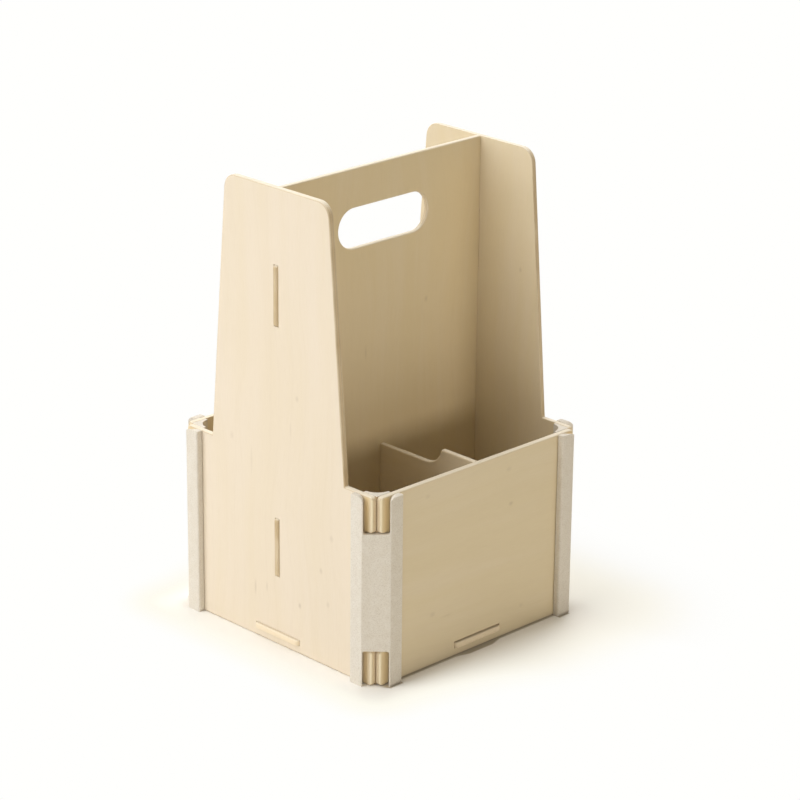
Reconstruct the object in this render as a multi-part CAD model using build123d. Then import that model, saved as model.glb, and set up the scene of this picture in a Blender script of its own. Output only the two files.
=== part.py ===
from build123d import *
import os

# A flat-pack plywood carrier for four bottles, two by two.
# X runs from the near end to the far end, Y from front to back, Z up. It stands on z = 0,
# centred on the origin. All sizes are in millimetres.

# The box and its plywood
ply = 3.0  # thickness of every panel
box_width = 141.0  # square footprint over the panels' outer faces
wall_height = 99.0  # low walls and the shoulders of the end panels
panel_height = 238.0  # end panels and handle panel
joint_gap = 0.15  # clearance on each side of a tab, finger or groove
cut_overrun = 5.0  # how far a cutter runs past the material
corner_match = 0.05  # how near a drawn corner lies to the place that names it

# Tapered uprights of the end panels
shoulder_width = 22.3  # from the box's side to the foot of the taper
upright_top_width = 73.4  # across the sharp corners, before they are rounded
upright_corner_radius = 8.0

# Fingers at the corners of the box
finger_setback = 0.1  # finger tip to the inner face of the panel that it meets
finger_length = 4.0
finger_height = 18.8
finger_round = 2.0

# Handle panel's tabs, which pass through the end panels
handle_tab_proud = 0.9  # how far a tab stands out of the panel
handle_tab_round = 1.5
handle_tab_height = 31.0
lower_tab_height_share = 0.53  # centre of the lower tab, up the wall
upper_tab_height_share = 0.61  # centre of the upper tab, from wall top to panel top

# Floor's tabs, which pass through all four walls
floor_tab_proud = 1.5
floor_tab_round = 2.2
floor_tab_length = 32.0
floor_clearance = 4.2  # underside of the floor above the ground
end_headroom = 0.15  # open slot above a floor tab, in the end panels
side_headroom = 0.6  # and in the side panels

# Hand hole
hand_hole_width = 61.0
hand_hole_height = 20.6
hand_hole_margin = 20.2  # plywood left above the hole

# Cross divider
dip_depth = 9.0
dip_shoulder = 22.5  # level top between the side wall and the dip
dip_radius = 11.0
lap_height_share = 0.5  # where the two partitions' slots meet, up the divider

# Moulded corner profile
flap_thickness = 3.45
flap_reach = 14.7  # free edge of a flap, from the box's corner
flap_edge_round = 1.0
bevel_leg = 10.1  # outer corner cut off at 45 degrees
inner_reach = 12.3  # free edge of an inner lip, from the box's corner
inner_lip = 1.85  # thickness of an inner lip, over the plywood's inner face
notch_width = 13.0  # opening in the bevelled face that shows the finger tips
notch_corner_round = 1.0
notch_mouth_round = 2.5  # rounded shoulders of the upper notch

# Sizes that follow
half_width = box_width / 2
inner_half = half_width - ply
finger_tip = inner_half - finger_setback
recess_edge = finger_tip - finger_length
upright_foot = half_width - shoulder_width
floor_bottom = floor_clearance
floor_top = floor_bottom + ply
slot_width = ply + 2 * joint_gap
upper_height = panel_height - wall_height
tab_heights = [
    wall_height * lower_tab_height_share,
    wall_height + upper_height * upper_tab_height_share,
]
dip_floor = wall_height - dip_depth
dip_half = inner_half - dip_shoulder
lap_height = floor_top + (dip_floor - floor_top) * lap_height_share
hand_hole_height_centre = panel_height - hand_hole_margin - hand_hole_height / 2

# Drawing planes: first axis along the panel, second axis up
end_plane = Plane(origin=(-half_width, 0, 0), x_dir=(0, 1, 0), z_dir=(1, 0, 0))
side_plane = Plane(origin=(0, -half_width, 0), x_dir=(-1, 0, 0), z_dir=(0, 1, 0))
handle_plane = Plane(origin=(0, 0, 0), x_dir=(-1, 0, 0), z_dir=(0, 1, 0))
divider_plane = Plane(origin=(0, 0, 0), x_dir=(0, 1, 0), z_dir=(1, 0, 0))


def rectangle(left, right, bottom, top):
    """A rectangle drawn by its edges."""
    centre = Location(((left + right) / 2, (bottom + top) / 2, 0))
    return centre * Rectangle(right - left, top - bottom)


def rounded(sketch, places, radius):
    """The sketch with its corners at the given places rounded."""
    corners = [
        vertex
        for vertex in sketch.vertices()
        if any((vertex.center() - Vector(*place)).length < corner_match for place in places)
    ]
    return fillet(corners, radius)


def wall_face():
    """The low wall: a rectangle whose ends are cut back between the finger tips."""
    face = rectangle(-finger_tip, finger_tip, 0, wall_height)
    recess_bottom = finger_height - joint_gap
    recess_top = wall_height - finger_height + joint_gap
    for side in (-1, 1):
        edges = sorted((side * recess_edge, side * (finger_tip + cut_overrun)))
        face -= rectangle(*edges, recess_bottom, recess_top)
    levels = (0, recess_bottom, recess_top, wall_height)
    tips = [(side * finger_tip, level) for side in (-1, 1) for level in levels]
    return rounded(face, tips, finger_round)


def floor_slot(headroom):
    """The slot through a wall for the floor's tab."""
    half_slot = floor_tab_length / 2 + joint_gap
    return rectangle(-half_slot, half_slot, floor_bottom - joint_gap, floor_top + headroom)


def end_panel():
    """Low wall and tapered upright in one, with slots for the handle panel and the floor."""
    upright = make_face(
        Polyline(
            (-upright_foot, wall_height),
            (-upright_top_width / 2, panel_height),
            (upright_top_width / 2, panel_height),
            (upright_foot, wall_height),
            close=True,
        )
    )
    top_corners = [(side * upright_top_width / 2, panel_height) for side in (-1, 1)]
    face = wall_face() + rounded(upright, top_corners, upright_corner_radius)
    half_slot = handle_tab_height / 2 + joint_gap
    for height in tab_heights:
        face -= rectangle(-slot_width / 2, slot_width / 2, height - half_slot, height + half_slot)
    face -= floor_slot(end_headroom)
    return extrude(end_plane * face, ply)


def side_panel():
    """Low straight wall with the floor's slot."""
    return extrude(side_plane * (wall_face() - floor_slot(side_headroom)), ply)


def handle_panel():
    """Full-height partition with the hand hole, two tabs at each end and a slot from below."""
    tab_tip = half_width + handle_tab_proud
    face = rectangle(-inner_half, inner_half, floor_top, panel_height)
    half_tab = handle_tab_height / 2
    for height in tab_heights:
        tab = rectangle(-tab_tip, tab_tip, height - half_tab, height + half_tab)
        face += fillet(tab.vertices(), handle_tab_round)
    hand_hole = SlotOverall(hand_hole_width, hand_hole_height)
    face -= Location((0, hand_hole_height_centre, 0)) * hand_hole
    lap_top = lap_height + joint_gap
    face -= rectangle(-slot_width / 2, slot_width / 2, floor_top - cut_overrun, lap_top)
    return extrude(handle_plane * face, ply / 2, both=True)


def cross_divider():
    """Low partition with a dipped top, slotted from above for the handle panel."""
    face = rectangle(-inner_half, inner_half, floor_top, wall_height)
    dip = rectangle(-dip_half, dip_half, dip_floor, wall_height + dip_radius)
    dip_corners = [(side * dip_half, dip_floor) for side in (-1, 1)]
    face -= rounded(dip, dip_corners, dip_radius)
    lap_bottom = lap_height - joint_gap
    face -= rectangle(-slot_width / 2, slot_width / 2, lap_bottom, wall_height)
    return extrude(divider_plane * face, ply / 2, both=True)


def floor_panel():
    """Square floor with a tab through each wall, its corners cut off behind the profiles."""
    tab_tip = half_width + floor_tab_proud
    half_tab = floor_tab_length / 2
    corner_cut = inner_reach - ply + inner_lip + joint_gap
    face = rectangle(-inner_half, inner_half, -inner_half, inner_half)
    face = chamfer(face.vertices(), corner_cut)
    for tab in (
        rectangle(-tab_tip, tab_tip, -half_tab, half_tab),
        rectangle(-half_tab, half_tab, -tab_tip, tab_tip),
    ):
        face += fillet(tab.vertices(), floor_tab_round)
    return extrude(Plane.XY.offset(floor_bottom) * face, ply)


def profile_section():
    """Section of a corner profile, measured from the box's corner: two flaps joined by a
    bevelled web, a neck between the panels' edges, and a coved corner inside the box."""
    outside = -(flap_thickness + joint_gap)
    bevel = outside + bevel_leg
    outer_groove = -joint_gap
    inner_groove = ply + joint_gap
    groove_end = half_width - recess_edge - joint_gap
    inner_face = ply + inner_lip
    cove_radius = inner_reach - inner_face
    outline = [
        (inner_face, inner_reach),
        (inner_groove, inner_reach),
        (inner_groove, groove_end),
        (outer_groove, groove_end),
        (outer_groove, flap_reach),
        (outside, flap_reach),
        (outside, bevel),
        (bevel, outside),
        (flap_reach, outside),
        (flap_reach, outer_groove),
        (groove_end, outer_groove),
        (groove_end, inner_groove),
        (inner_reach, inner_groove),
        (inner_reach, inner_face),
    ]
    cove = RadiusArc(outline[-1], outline[0], cove_radius)
    section = make_face(Polyline(*outline) + cove)
    free_edges = [(outside, flap_reach), (flap_reach, outside)]
    return rounded(section, free_edges, flap_edge_round)


def notch_outline(level, mouth_round):
    """Notch in the bevelled face, from its closed end at height 0 to its open end at level."""
    half_notch = notch_width / 2
    outline = rectangle(-half_notch, half_notch, 0, level + cut_overrun)
    closed_end = [(side * half_notch, 0) for side in (-1, 1)]
    outline = rounded(outline, closed_end, notch_corner_round)
    if mouth_round:
        half_mouth = half_notch + mouth_round
        shoulder = level - mouth_round
        mouth = rectangle(-half_mouth, half_mouth, shoulder, level)
        for side in (-1, 1):
            mouth -= Location((side * half_mouth, shoulder, 0)) * Circle(mouth_round)
        outline += mouth
    return outline


def corner_profile():
    """Profile at the front near corner, notched at its top and foot for the finger tips."""
    body = extrude(profile_section(), wall_height)
    diagonal = Vector(1, 1, 0).normalized()
    depth = finger_length + flap_reach
    inner_groove = ply + joint_gap
    inside = Location((inner_groove, inner_groove, -cut_overrun)) * Box(
        inner_reach, inner_reach, wall_height + 2 * cut_overrun, align=(Align.MIN,) * 3
    )
    notches = (
        (wall_height - finger_height, 1, notch_mouth_round),
        (finger_height, -1, 0),
    )
    for start, up, mouth_round in notches:
        plane = Plane(origin=(0, 0, start), x_dir=(-up, up, 0), z_dir=diagonal)
        cutter = extrude(plane * notch_outline(finger_height, mouth_round), depth, both=True)
        body -= cutter - inside
    return Location((-half_width, -half_width, 0)) * body


def build():
    """Every piece by its name."""
    near_end = end_panel()
    front_side = side_panel()
    profile = corner_profile()
    pieces = {
        "near_end_panel": near_end,
        "far_end_panel": near_end.rotate(Axis.Z, 180),
        "front_side_panel": front_side,
        "back_side_panel": front_side.rotate(Axis.Z, 180),
        "handle_panel": handle_panel(),
        "cross_divider": cross_divider(),
        "floor_panel": floor_panel(),
    }
    corners = ("front_near", "front_far", "back_far", "back_near")
    for turn, corner in enumerate(corners):
        pieces["corner_profile_" + corner] = profile.rotate(Axis.Z, 90 * turn)
    return pieces


os.makedirs("parts", exist_ok=True)
for name, shape in build().items():
    export_step(shape, "parts/" + name + ".step")
    box = shape.bounding_box()
    print(name, round(shape.volume), [round(size, 2) for size in box.size])
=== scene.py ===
import math

import bpy
import numpy as np
from mathutils import Matrix, Vector


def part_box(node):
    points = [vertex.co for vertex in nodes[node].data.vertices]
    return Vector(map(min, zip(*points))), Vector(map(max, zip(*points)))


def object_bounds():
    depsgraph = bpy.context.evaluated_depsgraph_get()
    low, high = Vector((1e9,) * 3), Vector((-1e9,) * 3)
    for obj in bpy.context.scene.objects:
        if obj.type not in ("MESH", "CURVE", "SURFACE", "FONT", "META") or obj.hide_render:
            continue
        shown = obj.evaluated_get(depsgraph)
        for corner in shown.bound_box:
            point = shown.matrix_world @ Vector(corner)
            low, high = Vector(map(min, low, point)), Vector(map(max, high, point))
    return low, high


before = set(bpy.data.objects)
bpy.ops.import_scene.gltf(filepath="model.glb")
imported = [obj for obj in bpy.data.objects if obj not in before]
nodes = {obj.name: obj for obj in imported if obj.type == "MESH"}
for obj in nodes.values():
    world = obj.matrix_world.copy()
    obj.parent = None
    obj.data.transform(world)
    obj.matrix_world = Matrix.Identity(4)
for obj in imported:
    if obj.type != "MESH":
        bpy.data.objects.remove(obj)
cadLow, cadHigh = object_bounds()
print("frame loaded,", len(nodes), "nodes")

# Lengths are in millimetres for the pieces, and in metres for the floor, lights and camera. In the
# dictionaries a pair with no note is where a ramp starts and where it ends.
mmPerMetre = 1000.0


# Node helpers

def newTree(name):
    material = bpy.data.materials.new(name)
    material.use_nodes = True
    material.node_tree.nodes.clear()
    return material, material.node_tree


def addNode(tree, kind, inputs=None, **settings):
    # a socket given as an input is linked, anything else becomes the default value
    node = tree.nodes.new(kind)
    for name, value in settings.items():
        setattr(node, name, value)
    for name, value in (inputs or {}).items():
        if isinstance(value, bpy.types.NodeSocket):
            tree.links.new(value, node.inputs[name])
        else:
            node.inputs[name].default_value = value
    return node


def doMath(tree, operation, *values):
    inputs = dict(enumerate(values))
    return addNode(tree, "ShaderNodeMath", inputs, operation=operation).outputs[0]


def doVectorMath(tree, operation, *values):
    inputs = dict(enumerate(values))
    outputs = addNode(tree, "ShaderNodeVectorMath", inputs, operation=operation).outputs
    return outputs["Value"] if operation == "LENGTH" else outputs[0]


def joinVector(tree, x, y, z):
    return addNode(tree, "ShaderNodeCombineXYZ", {0: x, 1: y, 2: z}).outputs[0]


def splitVector(tree, vector):
    return addNode(tree, "ShaderNodeSeparateXYZ", {0: vector}).outputs


def noise(tree, vector, scale=1.0, detail=2.0, rough=0.5):
    inputs = {"Vector": vector, "Scale": scale, "Detail": detail, "Roughness": rough}
    return addNode(tree, "ShaderNodeTexNoise", inputs).outputs[0]


def ramp(tree, value, low, high, toLow=0.0, toHigh=1.0):
    # smooth step from toLow at low to toHigh at high
    inputs = {"Value": value, "From Min": low, "From Max": high, "To Min": toLow, "To Max": toHigh}
    node = addNode(tree, "ShaderNodeMapRange", inputs, interpolation_type="SMOOTHSTEP", clamp=True)
    return node.outputs["Result"]


def solid(colour):
    return (*colour, 1.0)


def blendColour(tree, share, first, second):
    # from first at share 0 to second at share 1; a plain colour becomes a solid one
    node = addNode(tree, "ShaderNodeMix", data_type="RGBA")
    for socket, value in ((node.inputs[0], share), (node.inputs[6], first), (node.inputs[7], second)):
        if isinstance(value, bpy.types.NodeSocket):
            tree.links.new(value, socket)
        else:
            socket.default_value = solid(value) if isinstance(value, tuple) else value
    return node.outputs[2]


def placeInMm(tree):
    place = addNode(tree, "ShaderNodeTexCoord").outputs["Object"]
    inputs = {0: place, "Scale": mmPerMetre}
    return addNode(tree, "ShaderNodeVectorMath", inputs, operation="SCALE").outputs[0]


def facing(tree):
    # x, y and z of the direction that the surface faces
    return splitVector(tree, addNode(tree, "ShaderNodeNewGeometry").outputs["True Normal"])


def addSurface(tree, look, colour, grain, height):
    # a matt surface whose roughness follows the grain, with a fine relief from height
    bump = addNode(tree, "ShaderNodeBump", {
        "Strength": look["bumpStrength"], "Distance": look["relief"] / mmPerMetre, "Height": height})
    spread = look["roughnessSpread"]
    roughness = doMath(tree, "MULTIPLY_ADD", grain, spread, look["roughness"] - spread / 2)
    shader = addNode(tree, "ShaderNodeBsdfPrincipled", {
        "Base Color": colour, "Roughness": roughness, "Specular IOR Level": look["specular"],
        "Normal": bump.outputs[0]})
    addNode(tree, "ShaderNodeOutputMaterial", {"Surface": shader.outputs[0]})


# Plywood: pale rotary-cut face veneers, a slightly browner cut edge that shows three plies

plywood = {
    "thickness": 3.0,
    "fringe": (0.12, 0.01),  # this far below the face its colour starts, and is full
    "contactShadeHeight": (0.2, 2.0),
    "relief": 0.035,
    "bumpStrength": 0.5,
    "poreRelief": -1.2,
    "lineRelief": 0.4,
    "roughness": 0.66,
    "roughnessSpread": 0.12,
    "specular": 0.30,
    "softEdge": 0.80,  # how far the sanded edges are rounded over
    "slotShare": 0.05,  # of that, round the slots
    "innerShare": 0.40,  # on the walls' inner edges
    "innerZone": (67.0, 68.0),  # which lie between these from the caddy's middle
    "endShare": 0.30,  # where a partition meets a wall
    "endZone": (66.5, 68.0),  # between these from its middle
}

# A noise here has its length across the grain, its length along it, its detail and what it adds to
# the panel's seed.
veneer = {
    "cream": (0.835, 0.735, 0.605),
    "otherFace": 400.0,  # how far across the same figure one face is cut from the other
    "wander": 9.0,  # how far the grain lines drift sideways
    "drift": (95.0, 57.0, 1.0, 0.0),  # along the grain and then across it
    "rings": (9.0, 210.0, 2.0, 0.0),
    "ringShare": 0.9,
    "lines": (1.2, 34.0, 2.0, 2.0),
    "lineShare": 0.25,
    "patches": (30.0, 90.0, 1.0, 6.0),
    "patchShare": 0.8,
    "figureRange": (0.65, 1.30),
    "figureShare": 0.30,
    "streak": (0.560, 0.430, 0.270),  # colour of the fibres, veins and pores
    "fibres": (0.28, 9.0, 2.0, 4.0),
    "fibreRange": (0.35, 0.75),
    "fibreShare": 0.07,
    "contours": (17.0, 330.0, 1.0, 8.0),
    "veinWidth": 0.030,
    "veinShare": 0.03,
    "poreSize": (0.55, 5.5),  # across the grain and along it
    "poreEdge": (0.06, 0.20),
    "poreChosen": (0.72, 0.80),
    "poreShare": 0.16,
    "knot": (0.330, 0.235, 0.150),
}

# The cut edge. Facing is 1 straight up and -1 straight down.
cutEdge = {
    "veneer": (0.810, 0.700, 0.525),
    "core": (0.770, 0.645, 0.455),
    "coreThickness": 1.3,
    "coreFade": 0.05,
    "glue": (0.430, 0.320, 0.185),
    "glueLine": 0.22,
    "glueShare": 0.55,
    "tan": (0.530, 0.390, 0.215),  # scorch from cutting, which comes and goes along the edge
    "scorch": (0.06, 2.0),  # scale and detail of its noise
    "scorchRange": (0.30, 0.70),
    "scorchLow": 0.35,  # where it is faint, as a share of the panel's tan
    # less scorch where an edge faces up, part of the painted highlight on top edges
    "scorchTopHighlightFacing": (0.2, 0.8),
    "sanded": (40.0, 60.0),  # a partition is sanded round the hand hole, and scorched at its ends
    "sandedShare": 0.05,
    "grain": (2.6, 3.0, 0.65),  # scale, detail and roughness of its noise
    "grainRange": (0.35, 0.75),
    "grainShare": 0.30,
    "topHighlight": (0.900, 0.835, 0.705),  # painted highlight: edges that face up are paler
    "topHighlightFacing": (0.6, 0.98),
    "topHighlightShare": 0.75,
    "footShade": (0.160, 0.110, 0.060),  # painted shade: edges that face down at the foot are darker, and the foot's faces take it too
    "footShadeFacing": (-0.1, -0.7),
    "footShadeShare": 0.15,
    "footShadePerContactShade": 1.5,
    "footShadeHeight": 3.0,
}

# The walls' fingers, with places across the wall from its middle. A painted shade for the recess
# they sit in darkens them fully at the end of its ramp and less by their tips, and their tips'
# rounded edge gets a painted highlight.
fingers = {
    "recessShade": (0.800, 0.620, 0.340),
    "recessShadeShare": 0.9,
    "recessShadeFrom": 60.0,
    "recessShadeTo": 64.0,
    "recessShadeTip": 67.2,
    "scorchTip": 66.5,
    "tipShare": 0.3,  # of the painted shade and of the scorch; the paler tips are a painted highlight
    "recessShadeHeight": (18.0, 60.0),
    "recessShadeLow": 0.75,  # share of the painted shade up to the first height, full from the second
    # a painted highlight on the fingers' rounded tips
    "ridgeHighlight": (0.940, 0.835, 0.600),
    "ridgeHighlightShare": 0.80,
    "ridgeHighlightPlace": (67.8, 68.4),  # place across the wall and place out from the sheet's middle, added
}

# depth is the axis through the sheet and grain the axis along its face veneers. seed picks the
# figure, tint is how far a face goes from cream to honey, tan how scorched the cut edges are, and
# the share after tan how far a painted contact shade darkens the foot. A slot is (half width, foot,
# top). A knot is (along the grain, across it, radius, stretch, strength), on the face that looks to
# knotSide along depth.
honey = (0.778, 0.668, 0.463)
# inner panels, partly each sheet's own tone and partly painted light, shade and warm bounce
# tint and honey differ per panel: cream on the lit near end, warmer and browner on the shaded and
panels = {
    "near_end_panel": {
        "depth": "X", "grain": "Z", "seed": 3.0, "tint": 0.15, "honey": honey, "tan": 0.80,
        "contactShade": 0.0,
        "slots": [(2.2, 36, 69), (2.2, 167, 200.5), (17, 3.5, 9)],
        "knotSide": -1,
        "knots": [
            (135, -14.7, 1.7, 1.4, 0.18), (69.3, -39.2, 2.0, 1.4, 0.16),
            (50, -31.7, 1.7, 1.4, 0.20), (26.3, -16.4, 1.5, 1.5, 0.30),
            (33.5, -36.7, 1.7, 1.4, 0.15), (102.9, 33.2, 2.0, 1.4, 0.13),
            (26.0, 16.4, 1.2, 5.0, 0.22), (29.0, 7.9, 1.0, 4.0, 0.18),
            (94, 18.7, 1.2, 9.0, 0.10), (118, -10.0, 1.1, 5.0, 0.10),
        ],
    },
    "far_end_panel": {
        "depth": "X", "grain": "Z", "seed": 11.0, "tint": 0.75, "honey": (0.785, 0.672, 0.448),
        "tan": 0.60, "contactShade": 0.20,
        "slots": [(2.2, 36, 69), (2.2, 167, 200.5), (17, 3.5, 9)],
        "knotSide": -1,
        "knots": [
            (174, -31, 1.5, 1.4, 0.20), (150, 22, 1.8, 1.4, 0.16), (58, 30, 1.1, 5.0, 0.20),
            (34, -44, 1.8, 1.5, 0.25),
        ],
    },
    "front_side_panel": {
        "depth": "Y", "grain": "X", "seed": 23.0, "tint": 0.95, "honey": honey, "tan": 0.30,
        "contactShade": 0.15,
        "slots": [(17, 3.5, 9)],
        "knotSide": -1,
        "knots": [
            (-36.1, 91.2, 1.7, 1.4, 0.13), (20.5, 90.2, 1.8, 1.6, 0.14),
            (22.6, 71.2, 1.7, 1.4, 0.26), (31.7, 13, 1.6, 1.4, 0.14),
            (-31.8, 27.4, 2.0, 1.4, 0.16), (-22.0, 24.0, 1.0, 6.0, 0.10),
        ],
    },
    "back_side_panel": {
        "depth": "Y", "grain": "X", "seed": 31.0, "tint": 0.75, "honey": honey, "tan": 0.30,
        "contactShade": 0.15,
        "slots": [(17, 3.5, 9)],
        "knotSide": 1,
        "knots": [(-20, 64, 1.7, 1.4, 0.20), (38, 35, 1.1, 6.0, 0.18), (-42, 22, 1.6, 1.4, 0.16)],
    },
    "handle_panel": {
        "depth": "Y", "grain": "Z", "seed": 43.0, "tint": 0.95, "honey": (0.772, 0.645, 0.418),
        "tan": 0.85, "contactShade": 0.0,
        "slots": [],
        "knotSide": -1,
        "knots": [
            (160, 30, 1.8, 1.4, 0.20), (118, -40, 1.6, 1.4, 0.18), (141, -12, 1.1, 5.0, 0.15),
            (62, 22, 1.7, 1.4, 0.18),
        ],
    },
    "cross_divider": {
        "depth": "X", "grain": "Y", "seed": 57.0, "tint": 0.80, "honey": honey, "tan": 0.35,
        "contactShade": 0.0,
        "slots": [(2.2, 40, 100)],
        "knotSide": -1,
        "knots": [(-44, 60, 1.6, 1.4, 0.18), (36, 40, 1.7, 1.4, 0.20)],
    },
    "floor_panel": {
        "depth": "Z", "grain": "X", "seed": 71.0, "tint": 0.45, "honey": honey, "tan": 0.05,
        "contactShade": 0.0, "paleFloorEdge": (0.930, 0.800, 0.600), "paleFloorShare": 0.85,
        "slots": [],
        "knotSide": 1,
        "knots": [(-30, 24, 1.6, 1.4, 0.18), (41, -37, 1.8, 1.4, 0.20)],
    },
}


def sheetAxes(panel):
    # which of x, y and z runs through the sheet, along its grain, across its grain, and level
    # across a panel that stands
    depth = "XYZ".index(panel["depth"])
    grain = "XYZ".index(panel["grain"])
    return depth, grain, 3 - depth - grain, 1 if depth == 0 else 0


def stretchedNoise(tree, first, second, seed, stretch):
    # noise of two places, each divided by its length, and a seed
    firstLength, secondLength, detail, shift = stretch
    place = joinVector(tree, doMath(tree, "DIVIDE", first, firstLength),
                       doMath(tree, "DIVIDE", second, secondLength), seed + shift)
    return noise(tree, place, detail=detail)


def veneerFigure(tree, along, across, seed):
    # grain lines drift sideways: across + wander * noise(place), then stretched noise of that
    drift = stretchedNoise(tree, along, across, seed, veneer["drift"])
    drift = doMath(tree, "SUBTRACT", drift, 0.5)
    drifted = doMath(tree, "MULTIPLY_ADD", drift, 2 * veneer["wander"], across)
    figure = {
        name: stretchedNoise(tree, drifted, along, seed, veneer[name])
        for name in ("rings", "lines", "fibres", "patches", "contours")
    }
    # thin dark veins where a broad noise crosses its middle value
    contour = doMath(tree, "ABSOLUTE", doMath(tree, "SUBTRACT", figure["contours"], 0.5))
    figure["veins"] = ramp(tree, contour, 0.0, veneer["veinWidth"], 1.0, 0.0)
    # short pores: cells stretched along the grain, only some of them dark
    poreAcross, poreAlong = veneer["poreSize"]
    place = joinVector(tree, doMath(tree, "DIVIDE", drifted, poreAcross),
                       doMath(tree, "DIVIDE", along, poreAlong), seed)
    cells = addNode(tree, "ShaderNodeTexVoronoi", {"Vector": place, "Randomness": 1.0}).outputs
    chosen = addNode(tree, "ShaderNodeSeparateColor", {0: cells["Color"]}).outputs[0]
    figure["pores"] = doMath(tree, "MULTIPLY",
                             ramp(tree, cells["Distance"], *veneer["poreEdge"], 1.0, 0.0),
                             ramp(tree, chosen, *veneer["poreChosen"]))
    return figure


def knotShare(tree, along, across, knots):
    # each knot falls from its strength at its middle to 0 at its radius, stretched along the grain
    total = 0.0
    for knotAlong, knotAcross, radius, stretch, strength in knots:
        offAlong = doMath(tree, "DIVIDE", doMath(tree, "SUBTRACT", along, knotAlong), stretch)
        offAcross = doMath(tree, "SUBTRACT", across, knotAcross)
        away = doVectorMath(tree, "LENGTH", joinVector(tree, offAlong, offAcross, 0.0))
        total = doMath(tree, "MAXIMUM", ramp(tree, away, 0.0, radius, strength, 0.0), total)
    return total


def faceColour(tree, panel, figure):
    # cream to honey by rings, lines and patches, then darker fibres, veins and pores
    broad = doMath(tree, "MULTIPLY", figure["lines"], veneer["lineShare"])
    broad = doMath(tree, "MULTIPLY_ADD", figure["rings"], veneer["ringShare"], broad)
    broad = doMath(tree, "MULTIPLY_ADD", figure["patches"], veneer["patchShare"], broad)
    broad = ramp(tree, broad, *veneer["figureRange"], -0.5, 0.5)
    honeyShare = doMath(tree, "MULTIPLY_ADD", broad, veneer["figureShare"], panel["tint"])
    face = blendColour(tree, honeyShare, veneer["cream"], panel["honey"])
    for share in (ramp(tree, figure["fibres"], *veneer["fibreRange"], 0.0, veneer["fibreShare"]),
                  doMath(tree, "MULTIPLY", figure["veins"], veneer["veinShare"]),
                  doMath(tree, "MULTIPLY", figure["pores"], veneer["poreShare"])):
        face = blendColour(tree, share, face, veneer["streak"])
    return face


def recessShadeShare(tree, beside, height):
    # painted shade on the fingers in the recess, less by the tips and low down
    share = ramp(tree, beside, fingers["recessShadeFrom"], fingers["recessShadeTo"], 0.0, fingers["recessShadeShare"])
    tip = ramp(tree, beside, fingers["recessShadeTo"], fingers["recessShadeTip"], 1.0, fingers["tipShare"])
    low = ramp(tree, height, *fingers["recessShadeHeight"], fingers["recessShadeLow"], 1.0)
    return doMath(tree, "MULTIPLY", doMath(tree, "MULTIPLY", share, tip), low)


def scorchShare(tree, panel, isWall, place, beside, upward):
    share = ramp(tree, noise(tree, place, *cutEdge["scorch"]), *cutEdge["scorchRange"],
                 cutEdge["scorchLow"] * panel["tan"], panel["tan"])
    # less scorch where the edge faces up, part of the painted highlight on top edges
    share = doMath(tree, "MULTIPLY", share, ramp(tree, upward, *cutEdge["scorchTopHighlightFacing"], 1.0, 0.0))
    if isWall:
        # less scorch by the finger tips, part of their painted highlight
        tip = ramp(tree, beside, fingers["recessShadeTo"], fingers["scorchTip"], 1.0, fingers["tipShare"])
        share = doMath(tree, "MULTIPLY", share, tip)
    elif panel["depth"] != "Z":
        sanded = ramp(tree, beside, *cutEdge["sanded"], cutEdge["sandedShare"], 1.0)
        share = doMath(tree, "MULTIPLY", share, sanded)
    return share


def edgeColour(tree, panel, isWall, place, fromMiddle, beside, height):
    # veneer, glue line and core, then scorch and grain, with a painted highlight on edges that face
    # up and a painted shade on edges that face down at the foot
    glueAt = cutEdge["coreThickness"] / 2
    coreShare = ramp(tree, fromMiddle, glueAt - cutEdge["coreFade"], glueAt + cutEdge["coreFade"],
                     1.0, 0.0)
    edge = blendColour(tree, coreShare, cutEdge["veneer"], cutEdge["core"])
    upward = facing(tree)[2]
    scorch = scorchShare(tree, panel, isWall, place, beside, upward)
    edge = blendColour(tree, scorch, edge, cutEdge["tan"])
    grain = noise(tree, place, *cutEdge["grain"])
    grain = ramp(tree, grain, *cutEdge["grainRange"], 0.0, cutEdge["grainShare"])
    edge = blendColour(tree, grain, edge, cutEdge["tan"])
    fromGlue = doMath(tree, "ABSOLUTE", doMath(tree, "SUBTRACT", fromMiddle, glueAt))
    glue = ramp(tree, fromGlue, 0.0, cutEdge["glueLine"], cutEdge["glueShare"], 0.0)
    edge = blendColour(tree, glue, edge, cutEdge["glue"])
    # the floor panel's cut edge is set paler
    if "paleFloorEdge" in panel:
        edge = blendColour(tree, panel["paleFloorShare"], edge, panel["paleFloorEdge"])
    # painted highlight on edges that face up
    topHighlight = ramp(tree, upward, *cutEdge["topHighlightFacing"], 0.0, cutEdge["topHighlightShare"])
    edge = blendColour(tree, topHighlight, edge, cutEdge["topHighlight"])
    # painted shade on edges that face down near the foot
    footShadeShare = cutEdge["footShadeShare"] + cutEdge["footShadePerContactShade"] * panel["contactShade"]
    footShade = ramp(tree, upward, *cutEdge["footShadeFacing"], 0.0, footShadeShare)
    footShade = doMath(tree, "MULTIPLY", footShade, doMath(tree, "LESS_THAN", height, cutEdge["footShadeHeight"]))
    return blendColour(tree, footShade, edge, cutEdge["footShade"])


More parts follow.
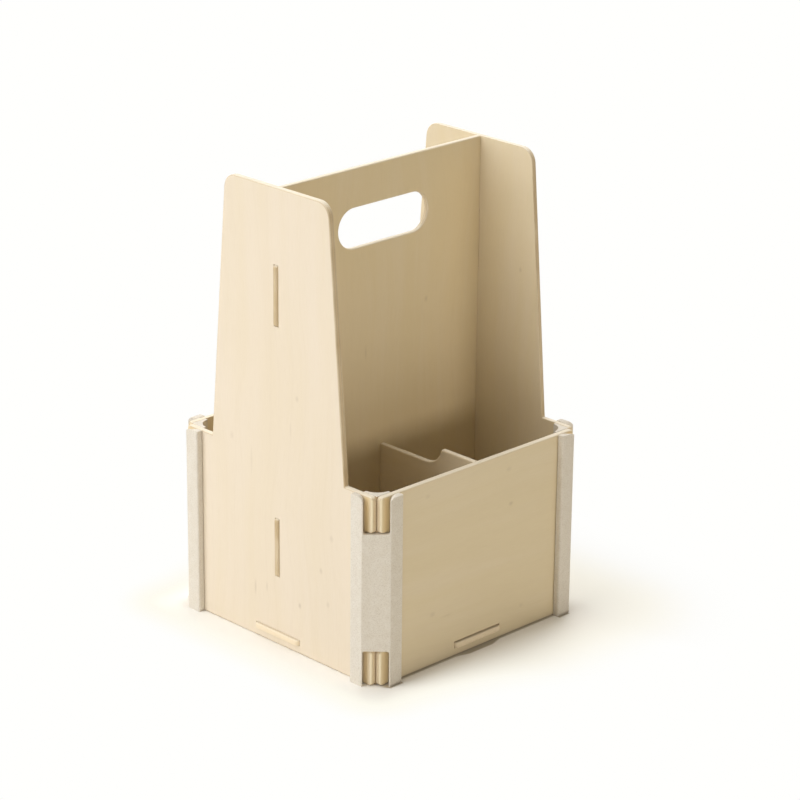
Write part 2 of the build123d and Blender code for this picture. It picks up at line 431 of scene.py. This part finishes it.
def plywoodMaterial(name, panel):
    material, tree = newTree(name + "_plywood")
    depth, grain, across, level = sheetAxes(panel)
    low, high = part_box(name)
    middle = mmPerMetre * (low[depth] + high[depth]) / 2
    isWall = name.endswith(("end_panel", "side_panel"))
    place = placeInMm(tree)
    parts = splitVector(tree, place)
    height = parts[2]
    beside = doMath(tree, "ABSOLUTE", parts[level])
    through = doMath(tree, "SUBTRACT", parts[depth], middle)
    fromMiddle = doMath(tree, "ABSOLUTE", through)
    knotSide = doMath(tree, "MULTIPLY", through, panel["knotSide"])
    knotSide = doMath(tree, "GREATER_THAN", knotSide, 0.0)

    # the two faces are different veneers, so the figure jumps from one to the other
    veneerAcross = doMath(tree, "MULTIPLY_ADD", knotSide, veneer["otherFace"], parts[across])
    figure = veneerFigure(tree, parts[grain], veneerAcross, panel["seed"])
    face = faceColour(tree, panel, figure)
    knots = knotShare(tree, parts[grain], parts[across], panel["knots"])
    face = blendColour(tree, doMath(tree, "MULTIPLY", knots, knotSide), face, veneer["knot"])
    if isWall:
        # painted shade on the fingers where they sit in the corner profiles' recess
        face = blendColour(tree, recessShadeShare(tree, beside, height), face, fingers["recessShade"])

    edge = edgeColour(tree, panel, isWall, place, fromMiddle, beside, height)
    half = plywood["thickness"] / 2
    fringeStart, fringeEnd = plywood["fringe"]
    faceShare = ramp(tree, fromMiddle, half - fringeStart, half - fringeEnd)
    colour = blendColour(tree, faceShare, edge, face)
    # painted contact shade, darker towards the foot by each panel's share
    contactShade = ramp(tree, height, *plywood["contactShadeHeight"], panel["contactShade"], 0.0)
    colour = blendColour(tree, contactShade, colour, cutEdge["footShade"])
    if isWall:
        # painted highlight on the fingers' rounded tips
        outwards = doMath(tree, "MULTIPLY_ADD", through, math.copysign(1.0, middle), beside)
        ridgeHighlight = ramp(tree, outwards, *fingers["ridgeHighlightPlace"], 0.0, fingers["ridgeHighlightShare"])
        colour = blendColour(tree, ridgeHighlight, colour, fingers["ridgeHighlight"])

    relief = doMath(tree, "MULTIPLY_ADD", figure["pores"], plywood["poreRelief"], figure["fibres"])
    relief = doMath(tree, "MULTIPLY_ADD", figure["lines"], plywood["lineRelief"], relief)
    addSurface(tree, plywood, colour, figure["lines"], relief)
    return material


# Corner profiles: a pale moulded wood-fibre composite with a fine speckle

composite = {
    "pale": (0.787, 0.738, 0.658),
    "warm": (0.757, 0.703, 0.615),
    "mottle": (0.25, 3.0),  # scale and detail of the noise that mixes them
    "mottleRange": (0.3, 0.7),
    "speckle": (1.7, 3.0, 0.75),  # scale, detail and roughness of the noise of flecks
    "fleck": (0.430, 0.355, 0.270),
    "fleckRange": (0.48, 0.68),
    "fleckShare": 0.30,
    "light": (0.870, 0.840, 0.780),
    "lightRange": (0.42, 0.28),
    "lightShare": 0.50,
    "fibreSize": 0.62,
    "fibreTurn": (0.5, 0.8, 0.3),  # radians
    "fibreStretch": (1.0, 0.35, 1.0),
    "fibreEdge": (0.10, 0.26),
    "fibreChosen": (0.60, 0.95),
    "fibreShare": 0.30,
    "recessShade": (0.600, 0.430, 0.245),  # painted shade behind the finger tips, where |x| and |y| are both beyond this place and their sum is below the next
    "recessShadeFrom": 64.5,  # beyond recessShadeFrom and their sum is below recessShadeTo
    "recessShadeTo": 135.5,
    "recessShadeFade": 1.0,
    "recessShadeShare": 0.9,
    "recessShadeFacing": (0.2, 0.6),  # 1 faces up, and such faces get none of the painted shade
    "contactShade": (0.300, 0.240, 0.175),  # painted shade at the foot, on the sides away from the light
    "contactShadeHeight": (0.2, 1.8),
    "contactShadeShare": 0.55,
    "contactShadeFacing": (-0.6, -0.1),  # -1 faces the light along x
    "seedStep": 37.0,  # from one profile to the next
    "relief": 0.020,
    "bumpStrength": 0.5,
    "roughness": 0.72,
    "roughnessSpread": 0.12,
    "specular": 0.28,
    "softEdge": 0.28,  # less than half the strip beside a notch
}


def compositeColour(tree, place):
    # mottled, with dark flecks and light ones, and short dark fibres
    look = composite
    mottle = ramp(tree, noise(tree, place, *look["mottle"]), *look["mottleRange"])
    colour = blendColour(tree, mottle, look["pale"], look["warm"])
    speckle = noise(tree, place, *look["speckle"])
    dark = ramp(tree, speckle, *look["fleckRange"], 0.0, look["fleckShare"])
    colour = blendColour(tree, dark, colour, look["fleck"])
    light = ramp(tree, speckle, *look["lightRange"], 0.0, look["lightShare"])
    colour = blendColour(tree, light, colour, look["light"])
    # the fibres are cells squashed along a slant, only some of them dark
    slanted = addNode(tree, "ShaderNodeMapping", {
        "Vector": place, "Rotation": look["fibreTurn"], "Scale": look["fibreStretch"]}).outputs[0]
    cells = addNode(tree, "ShaderNodeTexVoronoi", {
        "Vector": slanted, "Scale": 1 / look["fibreSize"], "Randomness": 1.0}).outputs
    chosen = addNode(tree, "ShaderNodeSeparateColor", {0: cells["Color"]}).outputs[0]
    fibres = doMath(tree, "MULTIPLY", ramp(tree, cells["Distance"], *look["fibreEdge"], 1.0, 0.0),
                    ramp(tree, chosen, *look["fibreChosen"], 0.0, look["fibreShare"]))
    return blendColour(tree, fibres, colour, look["fleck"]), speckle


def compositeMaterial(name, seed):
    look = composite
    material, tree = newTree(name + "_composite")
    place = placeInMm(tree)
    colour, speckle = compositeColour(tree, doVectorMath(tree, "ADD", place, (seed, seed, seed)))
    parts = splitVector(tree, place)
    faces = facing(tree)
    besideX = doMath(tree, "ABSOLUTE", parts[0])
    besideY = doMath(tree, "ABSOLUTE", parts[1])
    nearer = doMath(tree, "MINIMUM", besideX, besideY)
    both = doMath(tree, "ADD", besideX, besideY)
    # painted shade behind the finger tips, where the corner profile meets them
    inside = ramp(tree, nearer, look["recessShadeFrom"], look["recessShadeFrom"] + look["recessShadeFade"])
    behind = ramp(tree, both, look["recessShadeTo"], look["recessShadeTo"] + look["recessShadeFade"],
                  look["recessShadeShare"], 0.0)
    recessShade = doMath(tree, "MULTIPLY", doMath(tree, "MULTIPLY", inside, behind),
                   ramp(tree, faces[2], *look["recessShadeFacing"], 1.0, 0.0))
    colour = blendColour(tree, recessShade, colour, look["recessShade"])
    # painted shade at the foot, on the sides away from the light
    contactShade = doMath(tree, "MULTIPLY",
                   ramp(tree, parts[2], *look["contactShadeHeight"], look["contactShadeShare"], 0.0),
                   ramp(tree, faces[0], *look["contactShadeFacing"]))
    colour = blendColour(tree, contactShade, colour, look["contactShade"])
    addSurface(tree, look, colour, speckle, speckle)
    return material


# Soft edges

softening = {
    "sharpAngle": 35.0,  # degrees
    "weldReach": 1e-6,  # metres
    "segments": 3,
    "farAway": 999.0,  # where a zone with no end of its own stops
}


def edgeWeights(name, zones):
    # edge weight = 1 where faces meet at more than the sharp angle, times the share of a zone that
    # it is in; a zone is a box, low corner to high corner in millimetres, of (|x|, |y|, z)
    tree = bpy.data.node_groups.new(name + "_edges", "GeometryNodeTree")
    for direction in ("INPUT", "OUTPUT"):
        tree.interface.new_socket("Geometry", in_out=direction, socket_type="NodeSocketGeometry")
    source = addNode(tree, "NodeGroupInput").outputs[0]
    angle = addNode(tree, "GeometryNodeInputMeshEdgeAngle").outputs["Unsigned Angle"]
    weight = doMath(tree, "GREATER_THAN", angle, math.radians(softening["sharpAngle"]))
    beside = doVectorMath(tree, "ABSOLUTE", addNode(tree, "GeometryNodeInputPosition").outputs[0])
    for low, high, share in zones:
        middle = (np.array(low) + high) / 2 / mmPerMetre
        half = (np.array(high) - low) / 2 / mmPerMetre
        away = doVectorMath(tree, "ABSOLUTE", doVectorMath(tree, "SUBTRACT", beside, tuple(middle)))
        parts = splitVector(tree, doVectorMath(tree, "SUBTRACT", away, tuple(half)))
        outside = doMath(tree, "MAXIMUM", doMath(tree, "MAXIMUM", parts[0], parts[1]), parts[2])
        inZone = doMath(tree, "LESS_THAN", outside, 0.0)
        zoneShare = doMath(tree, "MULTIPLY_ADD", inZone, share - 1, 1.0)
        weight = doMath(tree, "MULTIPLY", weight, zoneShare)
    stored = addNode(tree, "GeometryNodeStoreNamedAttribute", {
        "Geometry": source, "Name": "bevel_weight_edge", "Value": weight},
        data_type="FLOAT", domain="EDGE")
    smooth = addNode(tree, "GeometryNodeSetShadeSmooth", {"Geometry": stored.outputs[0]})
    addNode(tree, "NodeGroupOutput", {0: smooth.outputs[0]})
    return tree


def panelZones(panel):
    # every slot, a wall's whole inner outline and a partition's ends; a width that changed along a
    # smooth outline would throw spikes
    depth, _, _, level = sheetAxes(panel)
    farAway = softening["farAway"]
    zones = []
    for halfWidth, foot, top in panel["slots"]:
        low, high = [-farAway, -farAway, foot], [farAway, farAway, top]
        high[level] = halfWidth
        zones.append((low, high, plywood["slotShare"]))
    if panel["depth"] != "Z":
        low, high = [-farAway] * 3, [farAway] * 3
        low[depth], high[depth] = plywood["innerZone"]
        zones.append((low, high, plywood["innerShare"]))
        low, high = [-farAway] * 3, [farAway] * 3
        low[level], high[level] = plywood["endZone"]
        high[depth] = plywood["thickness"]
        zones.append((low, high, plywood["endShare"]))
    return zones


def softenEdges(piece, width, zones=()):
    # welds the loose triangles, then rounds the sharp edges by width
    weld = piece.modifiers.new("weld", "WELD")
    weld.merge_threshold = softening["weldReach"]
    weights = piece.modifiers.new("edgeWeights", "NODES")
    weights.node_group = edgeWeights(piece.name, zones)
    bevel = piece.modifiers.new("softEdges", "BEVEL")
    bevel.width = width / mmPerMetre
    bevel.segments = softening["segments"]
    bevel.limit_method = "WEIGHT"
    bevel.use_clamp_overlap = False
    bevel.loop_slide = False  # sliding drags points along the long flat triangles
    normals = piece.modifiers.new("flatNormals", "WEIGHTED_NORMAL")
    normals.keep_sharp = True


def dress(name, material):
    piece = nodes[name]
    piece.data.materials.clear()
    piece.data.materials.append(material)
    return piece


for name, panel in panels.items():
    piece = dress(name, plywoodMaterial(name, panel))
    softenEdges(piece, plywood["softEdge"], panelZones(panel))
print("plywood panels dressed,", len(panels))

cornerNames = sorted(name for name in nodes if name.startswith("corner_profile"))
for number, name in enumerate(cornerNames):
    piece = dress(name, compositeMaterial(name, composite["seedStep"] * number))
    softenEdges(piece, composite["softEdge"])
print("corner profiles dressed,", len(cornerNames))


# Floor and background. The light comes from the near end, where x is negative.

studio = {
    "floorRadius": 5.0,
    "floorRings": 12,
    "floorSteps": 96,
    "floorMiddle": 0.02,  # the first ring's place, squared as the others' are
    "floorSeen": (0.98, 0.96, 0.92),
    "contact": (0.36, 0.28, 0.16),  # painted contact shadow on the floor along the foot of the shaded sides
    "contactShare": 0.90,
    "contactReach": (0.0003, 0.0020),
    "contactStart": (0.002, 0.006),  # in x past the lit wall
    "contactEnd": 0.001,  # in x before the cut corner on the far side
    "floorBounce": (0.88, 0.86, 0.80),  # light that the floor throws back up
    "bounceDim": (0.10, 0.06, 0.025),  # painted shade: less of it by the foot of the shaded sides
    "bounceShare": 0.75,
    "bounceReach": 0.012,
    "floorLit": (1.0, 0.98, 0.92),  # painted light: more of it by the foot on the side of the light
    "litPlace": (-0.072, -0.055),
    "litReach": 0.040,
    "fade": (-0.008, 0.054),  # away from the caddy, where the floor turns white
    "brightPlace": (0.020, -0.110),  # x, towards the light, where the fade is quicker
    "brightSpeed": 4.0,
    "cornerPlace": (-0.060, -0.068),  # x, where it follows the cut corner on the side of the light
    "cornerSpeed": 2.0,
    "shadedPlace": (0.060, 0.084),  # x, on the far side, where it starts sooner and is slower
    "shadedStart": 0.017,
    "shadedSpeed": 0.42,
    "warmWhite": (1.0, 0.975, 0.870),  # colour that the fade passes through, a painted warm shade close to the caddy
    "warmFade": (0.020, 0.066),
    "background": (1.0, 1.0, 0.985),
    "ambient": (1.0, 0.92, 0.78),
    "ambientStrength": 0.15,
}

# outline of the caddy's foot: walls, flaps beyond flapFrom, the shadows of tabs, which narrow from
# tabFrom to tabHalf beside a wall's middle, and corners cut where |x| + |y| = corner
footprint = {
    "wall": 0.0705, "flap": 0.0036, "flapFrom": 0.0558, "tab": 0.0022, "tabFrom": 0.007,
    "tabHalf": 0.0165, "corner": 0.1381,
}


def rayShare(tree):
    # 1 for rays that show the background itself: camera, glossy and transmission
    path = addNode(tree, "ShaderNodeLightPath").outputs
    glossy = doMath(tree, "MAXIMUM", path["Is Camera Ray"], path["Is Glossy Ray"])
    return doMath(tree, "MAXIMUM", glossy, path["Is Transmission Ray"])


def squareDistance(tree, place):
    # distance outside the square that the whole caddy fills
    beside = doVectorMath(tree, "ABSOLUTE", place)
    beside = doVectorMath(tree, "SUBTRACT", beside, (cadHigh[0], cadHigh[1], 0.0))
    return doVectorMath(tree, "LENGTH", doVectorMath(tree, "MAXIMUM", beside, (0.0, 0.0, 0.0)))


def footDistance(tree, place):
    # the greatest of the distances outside the walls' planes and the cut corners' planes
    foot = footprint
    parts = splitVector(tree, doVectorMath(tree, "ABSOLUTE", place))
    corner = doMath(tree, "SUBTRACT", doMath(tree, "ADD", parts[0], parts[1]), foot["corner"])
    distance = doMath(tree, "MULTIPLY", corner, math.sqrt(0.5))
    for outward, along in ((parts[0], parts[1]), (parts[1], parts[0])):
        onFlap = doMath(tree, "GREATER_THAN", along, foot["flapFrom"])
        onTab = ramp(tree, along, foot["tabFrom"], foot["tabHalf"], 1.0, 0.0)
        plane = doMath(tree, "MULTIPLY_ADD", onFlap, foot["flap"], foot["wall"])
        plane = doMath(tree, "MULTIPLY_ADD", onTab, foot["tab"], plane)
        distance = doMath(tree, "MAXIMUM", distance, doMath(tree, "SUBTRACT", outward, plane))
    return distance


def seenColour(tree, placeX, distance):
    # colour of the floor to the eye, with a painted contact shadow along the shaded sides' foot
    litEdge = -footprint["wall"]
    farEdge = footprint["corner"] - footprint["wall"] - footprint["flap"]
    contact = ramp(tree, distance, *studio["contactReach"], studio["contactShare"], 0.0)
    start, end = studio["contactStart"]
    contact = doMath(tree, "MULTIPLY", contact, ramp(tree, placeX, litEdge + start, litEdge + end))
    beforeFar = ramp(tree, placeX, farEdge - studio["contactEnd"], farEdge, 1.0, 0.0)
    contact = doMath(tree, "MULTIPLY", contact, beforeFar)
    return blendColour(tree, contact, studio["floorSeen"], studio["contact"])


def bounceColour(tree, placeX, distance):
    # colour of the light that the floor throws back, with painted shade by the shaded sides' foot and
    # painted light by the lit one
    lit = ramp(tree, placeX, *studio["litPlace"], 1.0, 0.0)
    dimmed = ramp(tree, distance, 0.0, studio["bounceReach"], studio["bounceShare"], 0.0)
    dimmed = doMath(tree, "MULTIPLY", dimmed, doMath(tree, "SUBTRACT", 1.0, lit))
    lit = doMath(tree, "MULTIPLY", lit, ramp(tree, distance, 0.0, studio["litReach"], 1.0, 0.0))
    colour = blendColour(tree, lit, studio["floorBounce"], studio["floorLit"])
    return blendColour(tree, dimmed, colour, studio["bounceDim"])


def floorFade(tree, place, placeX, distance):
    # the share and the colour of the white that the floor fades into
    away = squareDistance(tree, place)
    speed = ramp(tree, placeX, *studio["brightPlace"], 1.0, studio["brightSpeed"])
    warmAway = doMath(tree, "MULTIPLY", away, doMath(tree, "SQRT", speed))
    white = blendColour(tree, ramp(tree, warmAway, *studio["warmFade"]),
                        studio["warmWhite"], studio["background"])
    away = doMath(tree, "MULTIPLY", away, speed)
    cornerSpeed = ramp(tree, placeX, *studio["cornerPlace"], 0.0, studio["cornerSpeed"])
    away = doMath(tree, "MAXIMUM", away, doMath(tree, "MULTIPLY", distance, cornerSpeed))
    shadedSpeed = ramp(tree, placeX, *studio["shadedPlace"], 1.0, studio["shadedSpeed"])
    shadedStart = ramp(tree, placeX, *studio["shadedPlace"], 0.0, studio["shadedStart"])
    away = doMath(tree, "ADD", doMath(tree, "MULTIPLY", away, shadedSpeed), shadedStart)
    return ramp(tree, away, *studio["fade"]), white


def floorMaterial():
    material, tree = newTree("floor_paper")
    place = addNode(tree, "ShaderNodeTexCoord").outputs["Object"]
    placeX = splitVector(tree, place)[0]
    distance = footDistance(tree, place)
    fadeShare, whiteColour = floorFade(tree, place, placeX, distance)
    bounce = addNode(tree, "ShaderNodeBsdfDiffuse", {"Color": bounceColour(tree, placeX, distance)})
    seen = addNode(tree, "ShaderNodeBsdfDiffuse", {"Color": seenColour(tree, placeX, distance)})
    white = addNode(tree, "ShaderNodeEmission", {"Color": whiteColour})
    faded = addNode(tree, "ShaderNodeMixShader", {
        0: fadeShare, 1: seen.outputs[0], 2: white.outputs[0]})
    both = addNode(tree, "ShaderNodeMixShader", {
        0: rayShare(tree), 1: bounce.outputs[0], 2: faded.outputs[0]})
    addNode(tree, "ShaderNodeOutputMaterial", {"Surface": both.outputs[0]})
    return material


def makeFloor():
    # a flat disc on a polar grid: x = r cos t, y = r sin t, z = 0, for r up to the floor's radius
    rings = studio["floorRings"]
    steps = studio["floorSteps"]
    radius, turn = np.meshgrid(
        np.linspace(studio["floorMiddle"], 1.0, rings) ** 2 * studio["floorRadius"],
        np.linspace(0.0, 2 * math.pi, steps, endpoint=False), indexing="ij")
    points = np.stack([radius * np.cos(turn), radius * np.sin(turn), 0 * radius], -1).reshape(-1, 3)
    ring, step = np.meshgrid(np.arange(rings - 1), np.arange(steps), indexing="ij")
    nextStep = (step + 1) % steps
    faces = np.stack([ring * steps + step, (ring + 1) * steps + step,
                      (ring + 1) * steps + nextStep, ring * steps + nextStep], -1).reshape(-1, 4)
    middle = [list(range(steps))]
    mesh = bpy.data.meshes.new("floor")
    mesh.from_pydata(points.tolist(), [], faces.tolist() + middle)
    mesh.update()
    floor = bpy.data.objects.new("floor", mesh)
    bpy.context.scene.collection.objects.link(floor)
    mesh.materials.append(floorMaterial())


def makeWorld():
    world = bpy.data.worlds.new("studio")
    world.use_nodes = True
    tree = world.node_tree
    tree.nodes.clear()
    ambient = addNode(tree, "ShaderNodeBackground", {
        "Color": solid(studio["ambient"]), "Strength": studio["ambientStrength"]})
    seen = addNode(tree, "ShaderNodeBackground", {
        "Color": solid(studio["background"]), "Strength": 1.0})
    both = addNode(tree, "ShaderNodeMixShader", {
        0: rayShare(tree), 1: ambient.outputs[0], 2: seen.outputs[0]})
    addNode(tree, "ShaderNodeOutputWorld", {"Surface": both.outputs[0]})
    bpy.context.scene.world = world


makeFloor()
makeWorld()
print("floor and background made")


# Lights: level is how bright a white card facing the light would render, from 0 to 1

lightAim = (0.0, 0.0, 0.11)
lights = {
    "keyPanel": {
        "direction": (-0.80, 0.30, 0.52), "distance": 1.5, "size": (1.5, 1.5),
        "level": 0.775, "colour": (1.0, 1.0, 1.0)},
    "topPanel": {
        "direction": (0.0, 0.17, 1.0), "distance": 1.4, "size": (1.5, 0.55),
        "level": 0.47, "colour": (1.0, 0.99, 0.97)},
    "rearPanel": {
        "direction": (0.75, 0.45, 0.65), "distance": 1.5, "size": (1.0, 1.0),
        "level": 0.45, "colour": (1.0, 0.98, 0.95)},
    "frontFill": {
        "direction": (0.10, -1.0, 0.10), "distance": 1.8, "size": (1.4, 0.4),
        "level": 0.235, "colour": (1.0, 0.90, 0.75)},
    "lowCard": {
        "direction": (-1.0, -0.10, -0.25), "distance": 0.32, "size": (0.5, 0.06),
        "level": 0.045, "colour": (1.0, 0.99, 0.97)},
}


def makeLight(name, look):
    data = bpy.data.lights.new(name, "AREA")
    data.shape = "RECTANGLE"
    data.size, data.size_y = look["size"]
    data.color = look["colour"]
    data.energy = look["level"] * math.pi ** 2 * look["distance"] ** 2
    lamp = bpy.data.objects.new(name, data)
    direction = Vector(look["direction"]).normalized()
    lamp.location = Vector(lightAim) + direction * look["distance"]
    lamp.rotation_euler = direction.to_track_quat("Z", "Y").to_euler()
    bpy.context.scene.collection.objects.link(lamp)


for name, look in lights.items():
    makeLight(name, look)
print("lights made,", len(lights))


# Camera, where the photograph was taken from

view = {
    "azimuth": -44.54,  # degrees, 0 looks along +Y
    "elevation": 20.47,
    "roll": 0.56,
    "distance": 1.5309,  # metres from the aim point
    "aimHeight": 0.1126,
    "aimAside": 0.0098,  # to the right of the caddy's axis
    "lens": 136.77,  # millimetres, as the sensor
    "sensor": 36.0,
}


def makeCamera():
    azimuth, elevation, roll = (
        math.radians(view[angle]) for angle in ("azimuth", "elevation", "roll"))
    back = Vector((math.sin(azimuth) * math.cos(elevation),
                   -math.cos(azimuth) * math.cos(elevation), math.sin(elevation)))
    right = Matrix.Rotation(roll, 3, back) @ Vector((math.cos(azimuth), math.sin(azimuth), 0.0))
    up = back.cross(right)
    aim = right * view["aimAside"] + Vector((0.0, 0.0, view["aimHeight"]))
    data = bpy.data.cameras.new("camera")
    data.lens = view["lens"]
    data.sensor_width = view["sensor"]
    camera = bpy.data.objects.new("camera", data)
    turned = Matrix((right, up, back)).transposed().to_4x4()
    camera.matrix_world = Matrix.Translation(aim + back * view["distance"]) @ turned
    bpy.context.scene.collection.objects.link(camera)
    bpy.context.scene.camera = camera


makeCamera()
bpy.context.scene.view_settings.view_transform = "Standard"
print("camera made")
